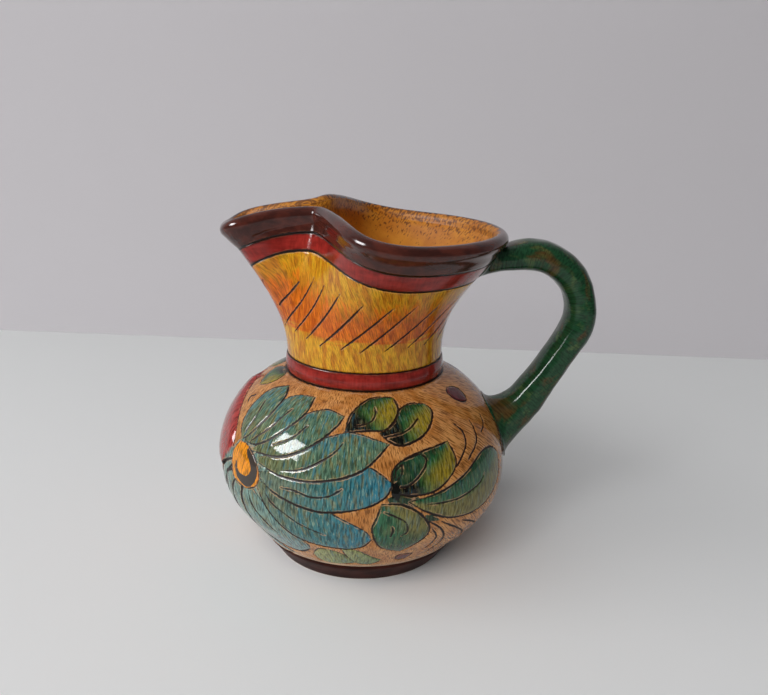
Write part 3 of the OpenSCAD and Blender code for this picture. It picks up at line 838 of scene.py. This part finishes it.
class Drawing:
    """All painted motifs and incised lines of the belly; a later motif lies over the earlier ones."""

    def __init__(self):
        front = SPOUT_SIDE + SLIVERS + PETALS + [EYE_MOTIF] + LEAVES
        self.motifs = [m.mirrored() for m in front] + front
        self.line_points, self.line_widths = [], []
        edges, self.owners = [], []
        for order, motif in enumerate(self.motifs):
            for side, half_width in zip(motif.sides, motif.lines):
                self.cut(side, half_width, order)
                points, _ = even_steps(on_belly(side), stride=0.4)
                others = [m for m in self.motifs if m is not motif]
                open_edge = points[~self.covered(places_of(points), others)]
                edges.extend(open_edge)
                self.owners.extend([order] * len(open_edge))
            for vein in motif.veins:
                self.cut(smooth_line(vein), max(PLAIN, 0.75 * motif.lines[1]), order)
        for stroke in STROKES:
            for places in (stroke, mirrored(stroke)):
                self.cut(smooth_line(places), BOLD, len(self.motifs), 0.7)
        self.lines = tree_of(self.line_points)
        self.edges = tree_of(edges)
        self.fine = tree_of(self.line_points + edges)
        self.add_comma()

    @staticmethod
    def covered(places, motifs):
        """Whether each place lies inside any of the motifs."""
        return np.any([m.holds(places) for m in motifs], axis=0) if motifs else np.zeros(len(places), bool)

    def cut(self, places, half_width, order, thin_end=0.4):
        """A line that thins out at its ends, left out where a later motif covers it."""
        if not half_width:
            return
        points, along = even_steps(on_belly(places), stride=0.2)
        open_line = ~self.covered(places_of(points), self.motifs[order + 1:])
        for point, share in zip(points[open_line], along[open_line]):
            hand = 0.85 + 0.3 * noise.noise(Vector(point) * 0.16)
            self.line_points.append(point)
            fullness = thin_end + (1 - thin_end) * ease(0, 0.2, share) * ease(1.0, 0.92, share)
            self.line_widths.append(half_width * hand * fullness)

    def add_comma(self):
        """The comma in the eye, on both sides of the jug."""
        points, widths = [], []
        for places in (COMMA_RUN, mirrored(COMMA_RUN)):
            steps, along = even_steps(on_belly(smooth_line(places)), stride=0.3)
            points.extend(steps)
            widths.extend(np.interp(along, np.linspace(0, 1, len(COMMA_WIDTHS)), COMMA_WIDTHS))
        self.comma = tree_of(points)
        self.comma_widths = np.array(widths)

    def from_lines(self, points):
        """How far each point lies from the nearest line, and that line's half width."""
        index, distance = nearest(self.lines, points)
        return distance, np.array(self.line_widths)[index]

    def from_comma(self, points):
        """How far each point lies outside the nearest comma."""
        index, distance = nearest(self.comma, points)
        return distance - self.comma_widths[index]

    def painted(self, points):
        """Brushed colour at each point, how far outside the painted motifs it lies, and the motif's kind."""
        places = places_of(points)
        index, distance = nearest(self.edges, points)
        owner = np.array(self.owners)[index]
        inside = np.zeros(len(points), bool)
        for order, motif in enumerate(self.motifs):
            held = motif.holds(places)
            owner[held] = order
            inside |= held
        colours = np.zeros((len(points), 4))
        for order, motif in enumerate(self.motifs):
            mine = owner == order
            colours[mine] = motif.brushed(places[mine])
        kinds = np.array([motif.kind for motif in self.motifs])[owner]
        return colours, np.where(inside, -distance, distance), kinds


# Pieces

def foot_ring():
    """The turned foot: a flared ring with softened edges, bare where it stands."""
    waist = 0.9
    wheel = Wheel(FOOT_BORE_R, FOOT_H).line(FOOT_BORE_R, 0).line(FOOT_R, 0)
    wheel.line(FOOT_R + 1.6, 2.6).line((FOOT_R + FOOT_TOP_R) / 2 - waist + 1.2, FOOT_H * 0.55)
    wheel.line(FOOT_TOP_R - 1.6, FOOT_H - 2.4).line(FOOT_TOP_R - 1.3, FOOT_H - 0.9)
    wheel.line(FOOT_TOP_R - 1.6, FOOT_H)
    bm = wheel.close().turn(120)
    soften_edges(bm, 0.7, 3, 12)
    points = points_of(bm)
    z = points[:, 2]
    # The line field darkens the foot's top edge, tucked under the belly: painted shade in the gap where they
    # meet.
    keep_fields(bm, line=np.abs(z - FOOT_H) - 0.7, across=np.full(len(points), 9.0), bare=ease(0.35, 0.1, z))
    chart_round(bm, points, z, 0.7)
    return bm


def collar_band():
    """The cordon: a pressed-on band, full in its middle and rolled in at both seams."""
    top, middle = NECK_Z, SHOULDER_Z + COLLAR_H / 2
    slip, roll_in, fullness = 0.15, 0.15, 0.35
    wheel = Wheel(ROOT_R + slip, SHOULDER_Z).line(COLLAR_R - roll_in, SHOULDER_Z)
    wheel.line(COLLAR_R + fullness, middle).line(COLLAR_R - roll_in, top).line(ROOT_R + slip, top)
    bm = wheel.close().turn(160)
    soften_edges(bm, 0.55, 3, 20)
    soften_edges(bm, 1.6, 4, 5)
    points = points_of(bm)
    seam = np.minimum(points[:, 2] - SHOULDER_Z, top - points[:, 2])
    keep_fields(bm, line=seam - 0.28)
    chart_round(bm, points, points[:, 2], 0.57)
    return bm


def belly(drawing):
    """The thrown belly, cut and painted: grooves where the lines run, motifs a little raised."""
    groove_depth = 0.32
    burr_height = 0.02
    puff, thick_red = 0.14, 1.1
    full_hip, full_turn = 1.5, 345
    inner_hip_steps = 4
    shoulder_bend = math.asin((SHOULDER_Z - BELLY_Z) / SHOULDER_R)
    throat_bend = math.acos((THROAT_R - SHOULDER_X) / (SHOULDER_R - WALL))
    throat_z = BELLY_Z + (SHOULDER_R - WALL) * math.sin(throat_bend)
    skirt_end = (HIP_X + HIP_R * math.cos(HIP_END), BELLY_Z + HIP_R * math.sin(HIP_END))
    wheel = Wheel(0, BOSS_Z).line(BOSS_R, BOSS_Z, 4).line(BOSS_R, FOOT_H).line(FOOT_TOP_R, FOOT_H, 3)
    wheel.line(*skirt_end, 10).arc(HIP_X, BELLY_Z, -HIP_END, 12).arc(SHOULDER_X, BELLY_Z, shoulder_bend, 31)
    wheel.line(ROOT_R, SHOULDER_Z).line(ROOT_R, SEAM_Z).line(THROAT_R, SEAM_Z).line(THROAT_R, throat_z)
    wheel.arc(SHOULDER_X, BELLY_Z, -throat_bend, 8).arc(HIP_X, BELLY_Z, HIP_END, inner_hip_steps)
    wheel.line(FOOT_TOP_R - 2.2, FLOOR_Z, 2).line(0, FLOOR_Z, 5)
    bm = wheel.turn(240)
    finer_near(bm, drawing.fine, (1.6, 0.75))
    points = points_of(bm)
    z = points[:, 2]
    on_map = (z > FOOT_H - 0.01) & (z < SHOULDER_Z + 0.01)
    outside = on_map & (np.abs(np.hypot(points[:, 0], points[:, 1]) - belly_radius(z)) < 0.3)
    paint, cover, kinds = drawing.painted(points)
    distance, half_width = drawing.from_lines(points)
    groove = -groove_depth * (1 - ease(0.15, 1.0, distance / (half_width + 0.15)))
    burr = burr_height * np.exp(-((distance - half_width - 0.35) / 0.22) ** 2)
    swell = np.where(kinds == "red", thick_red, puff) * ease(0.2, -2.5, cover)
    turn, rise = places_of(points).T
    aside = np.abs((turn - full_turn + 180) % 360 - 180)
    swell += full_hip * ease(45, 10, aside) * ease(-38, -28, rise) * ease(4, -16, rise)
    # A pale strip along the belly's lowest edge, just above the foot: a painted highlight
    painted_highlight_edge = 0.9 * ease(FOOT_H + 1.6, FOOT_H + 0.9, z)
    move_out(bm, np.where(outside, swell + groove + burr, 0))
    seam = np.where(outside, SHOULDER_Z - z, 9)
    line = np.minimum(np.where(outside, distance - half_width, 9), seam - 0.3)
    bare = np.where(outside, painted_highlight_edge, ease(FOOT_H - 0.4, FOOT_H - 0.6, z))
    keep_fields(bm, line=line, cover=cover, comma=drawing.from_comma(points), bare=bare)
    layer = bm.verts.layers.float_color.new("paint")
    for vert, colour in zip(bm.verts, paint):
        vert[layer] = colour
    keep_chart(bm, turn, rise, 360)
    return bm


def seam_lines():
    """Points along the corners of the lip band, where it meets the neck and the rim."""
    bm = cad_copy("lip_band")
    points = [e.verts[0].co.lerp(e.verts[1].co, i / 8) for e in sharp_edges(bm) for i in range(8)]
    bm.free()
    return tree_of(points)


def ease_pinch(bm):
    """Round off the two folds where the lip is pinched in to make the spout."""
    fold_x, fold_y, reach, lowest = -21, 12.3, 9, 118
    fold = [v for v in bm.verts
            if math.hypot(v.co.x - fold_x, abs(v.co.y) - fold_y) < reach and v.co.z > lowest]
    relax(bm, fold, 6)


def neck(seams):
    """The flared neck with a row of slanting strokes cut round it."""
    stroke_count, steps = 24, 160
    low_z, high_z, lift_to_spout = 95.5, 113, 7
    lean, bend = 31, 2.5
    stroke_width, stroke_depth = 0.4, 0.3
    far_out, reach = 90, 70
    bm = rounded(cad_copy("neck"), 2, 0.75)
    skin = BVHTree.FromBMesh(bm)
    points, widths = [], []
    for i in range(stroke_count):
        sway = noise.noise(Vector((i * 1.7, 0.3, 0)))
        turn = 360 / stroke_count * (i + 0.35 * sway)
        lift = lift_to_spout * ease(75, 20, abs(turn - 180))
        low = low_z + 0.35 * lift + 2 * sway
        high = high_z + lift + 2 * noise.noise(Vector((i * 0.9, 5.1, 0)))
        # A stroke in front of the spout is shorter at both ends
        cut_short = ease(28, 12, abs(turn + lean / 2 - 180))
        for f in np.linspace(0.46 * cut_short, 1 - 0.18 * cut_short, steps):
            angle = math.radians(turn + lean * f + bend * math.sin(math.pi * f))
            way = Vector((math.cos(angle), math.sin(angle), 0))
            height = Vector((0, 0, low + (high - low) * f))
            place = skin.ray_cast(way * far_out + height, -way, reach)[0]
            if place is None:
                break
            points.append(place)
            widths.append(stroke_width * (0.4 + 0.6 * ease(0, 0.2, f) * ease(1.0, 0.8, f)))
    strokes = tree_of(points)
    finer_near(bm, strokes, (0.9, 0.6))
    at = points_of(bm)
    index, distance = nearest(strokes, at)
    half_width = np.array(widths)[index]
    move_out(bm, -stroke_depth * (1 - ease(0.1, 1.0, distance / (half_width + 0.15))))
    seam = nearest(seams, at)[1] - SEAM_HALF
    z = at[:, 2]
    line = np.minimum(np.minimum(distance - half_width, seam), z - NECK_Z - 0.2)
    lift = lift_to_spout * ease(80, 20, np.abs(turn_of(at) - 180))
    keep_fields(bm, line=line, band=z - lift * np.clip((z - 97) / 18, 0, 1))
    chart_round(bm, at, z, 0.7)
    return bm


def lip_band(seams):
    """The red band under the rim."""
    bm = rounded(cad_copy("lip_band"), 2, 0.75)
    at = points_of(bm)
    keep_fields(bm, line=nearest(seams, at)[1] - SEAM_HALF)
    chart_round(bm, at, at[:, 2], 0.8)
    return bm


# Below this Z of its normal, a point of the rim faces down
FACES_DOWN = -0.1


def crest_line():
    """Points along the top of the rim."""
    bm = cad_copy("rim")
    points, ways = points_of(bm), normals_of(bm)
    bm.free()
    return points[ways[:, 2] > 0.9]


def below_crest(points, crest):
    """How far each point lies below the rim's crest beside it."""
    index, _ = nearest(tree_of(crest * (1, 1, 0)), points * (1, 1, 0))
    return crest[index, 2] - points[:, 2]


def chart_lip(bm, at, crest):
    """Lay the chart round the jug and out along the spout, and down from the crest."""
    spout_start_x = -25
    out_along_spout = np.minimum(at[:, 0] - spout_start_x, 0)
    chart_round(bm, at, below_crest(at, crest), 0.8, out_along_spout)


def behind_lining(bm):
    """Which points of a piece lie against the glaze lining."""
    lining = cad_copy("glaze_lining")
    coat = BVHTree.FromBMesh(lining)
    lining.free()
    reach = 2.0
    return np.array([coat.find_nearest(v.co)[3] < reach for v in bm.verts])


def fill_cove(bm, crest, lined):
    """Soften the hollow under the outside of the rim's roll, as thick glaze does."""
    top, bottom, fullest, spread = 3.6, 8.5, 7.5, 2.2
    drop = np.where(lined, 0.0, below_crest(points_of(bm), crest))
    bm.normal_update()
    hollow = [v for v, depth in zip(bm.verts, drop) if top < depth < bottom and v.normal.z < FACES_DOWN]
    relax(bm, hollow, 16)
    bm.normal_update()
    for vert, depth in zip(bm.verts, drop):
        if vert.normal.z < FACES_DOWN:
            fullness = 0.2 + 0.6 * ease(-25, -55, vert.co.x)
            vert.co += vert.normal * fullness * math.exp(-((depth - fullest) / spread) ** 2)


def rim(seams, crest):
    """The rolled rim, dark outside and amber over its inner side."""
    spout_root_x = -46
    bm = rounded(cad_copy("rim"), 2, 1.0)
    ease_pinch(bm)
    lined = behind_lining(bm)
    fill_cove(bm, crest, lined)
    at, ways = points_of(bm), normals_of(bm)
    heart = np.column_stack([np.clip(at[:, 0], spout_root_x, 0), np.zeros(len(at))])
    out = at[:, :2] - heart
    across = (ways[:, :2] * out).sum(1) / np.linalg.norm(out, axis=1)
    across = np.where(lined, -1.0, np.where(ways[:, 2] < FACES_DOWN, 1.0, across))
    keep_fields(bm, line=nearest(seams, at)[1] - SEAM_HALF, across=across, bare=np.zeros(len(at)))
    chart_lip(bm, at, crest)
    return bm


def glaze_lining(crest):
    """The amber glaze that lines the inside, drawn up the wall until it runs out on the rim's roll."""
    run_up, edge_depth = 5.0, 8
    bm = cad_copy("glaze_lining")
    drop = below_crest(points_of(bm), crest)
    edge = [v for v, depth in zip(bm.verts, drop) if depth < edge_depth and v.co.z > NECK_Z]
    ways = []
    for vert in edge:
        below = min((e.other_vert(vert).co for e in vert.link_edges), key=lambda co: co.z)
        ways.append((vert.co - below).normalized())
    for vert, way in zip(edge, ways):
        vert.co += way * run_up
    bm = rounded(bm, 1, 1.0)
    chart_lip(bm, points_of(bm), crest)
    return bm


def handle():
    """The pulled handle: a rounded strap with the dents that fingers leave."""
    dent, swing, fuller = 0.5, 1.4, 0.8
    bm = rounded(cad_copy("handle"), 2, 0.75)
    at = points_of(bm)
    x, y, z = at[:, 0] - BOW_X, at[:, 1], at[:, 2] - BOW_Z
    leg_start = math.pi / 2 + LEG_LEAN
    angle = np.arctan2(x, z)
    on_leg = (angle > leg_start) | ((x < 0) & (z < 0))
    on_top = (x < 0) & ~on_leg
    leg_out = x * math.cos(LEG_LEAN) - z * math.sin(LEG_LEAN)
    leg_run = -(x * math.sin(LEG_LEAN) + z * math.cos(LEG_LEAN))
    out = np.where(on_leg, leg_out, np.where(on_top, z, np.hypot(x, z))) - BOW_R
    along = np.where(on_leg, BOW_R * leg_start + leg_run, np.where(on_top, x, BOW_R * angle))
    # The bow is thicker and stands a little further out than the frame's strap
    bow = ease(-27, -7, z) * ease(-12, 2, x)
    hand = np.array([dent * (noise.noise(v.co * 0.07) + 0.4 * noise.noise(v.co * 0.21)) for v in bm.verts])
    move_out(bm, hand + fuller * bow)
    for vert, share in zip(bm.verts, bow):
        vert.co.x += (swing - fuller * share) * ease(48, 70, vert.co.x)
    keep_chart(bm, y + out, along)
    return bm


# The scene, put together

def add_board(name, bm, material):
    """A flat board of the stage."""
    board = make_object(name, bm, material)
    return board


def set_stage():
    """A pale floor, and behind it a pale wall that neither shades the jug nor colours its paint."""
    floor_half, wall_half = 0.55, 3
    wall_y, wall_turn = 0.297, math.radians(-3.3)
    floor = bmesh.new()
    bmesh.ops.create_grid(floor, x_segments=1, y_segments=1, size=floor_half)
    add_board("floor", floor, plain_matt("pale_table", PALE_TABLE, 0.4))
    wall = bmesh.new()
    upright = Matrix.Rotation(wall_turn, 4, "Z") @ Matrix.Rotation(math.pi / 2, 4, "X")
    bmesh.ops.create_grid(wall, x_segments=1, y_segments=1, size=wall_half,
                          matrix=Matrix.Translation((0, wall_y, 0)) @ upright)
    backdrop = add_board("wall", wall, plain_matt("pale_wall", PALE_WALL, 0.6))
    backdrop.visible_shadow = False
    backdrop.visible_diffuse = False


def build():
    """Stage, light and all eight pieces."""
    bpy.context.scene.view_settings.view_transform = "Standard"
    add_camera()
    light_jug()
    set_stage()
    seams = seam_lines()
    crest = crest_line()
    red = red_glaze()
    # The foot's copy of the brown is toned down to 0.55: painted shade under the belly.
    foot_brown = dark_glaze("foot_glaze", 0.06, 0.4, 0.55)
    rim_brown = dark_glaze("rim_glaze", 0.4, 0.1, 1.0)
    set_down(foot_ring(), "turned_foot", "foot_ring", foot_brown)
    set_down(belly(Drawing()), "painted_belly", "belly", painted_glaze())
    set_down(collar_band(), "red_cordon", "collar_band", red)
    set_down(neck(seams), "flared_neck", "neck", honey_glaze())
    set_down(lip_band(seams), "red_lip_band", "lip_band", red)
    set_down(rim(seams, crest), "rolled_rim", "rim", rim_brown)
    set_down(glaze_lining(crest), "amber_lining", "glaze_lining", amber_glaze())
    set_down(handle(), "pulled_handle", "handle", green_glaze())


build()
bpy.context.view_layer.update()
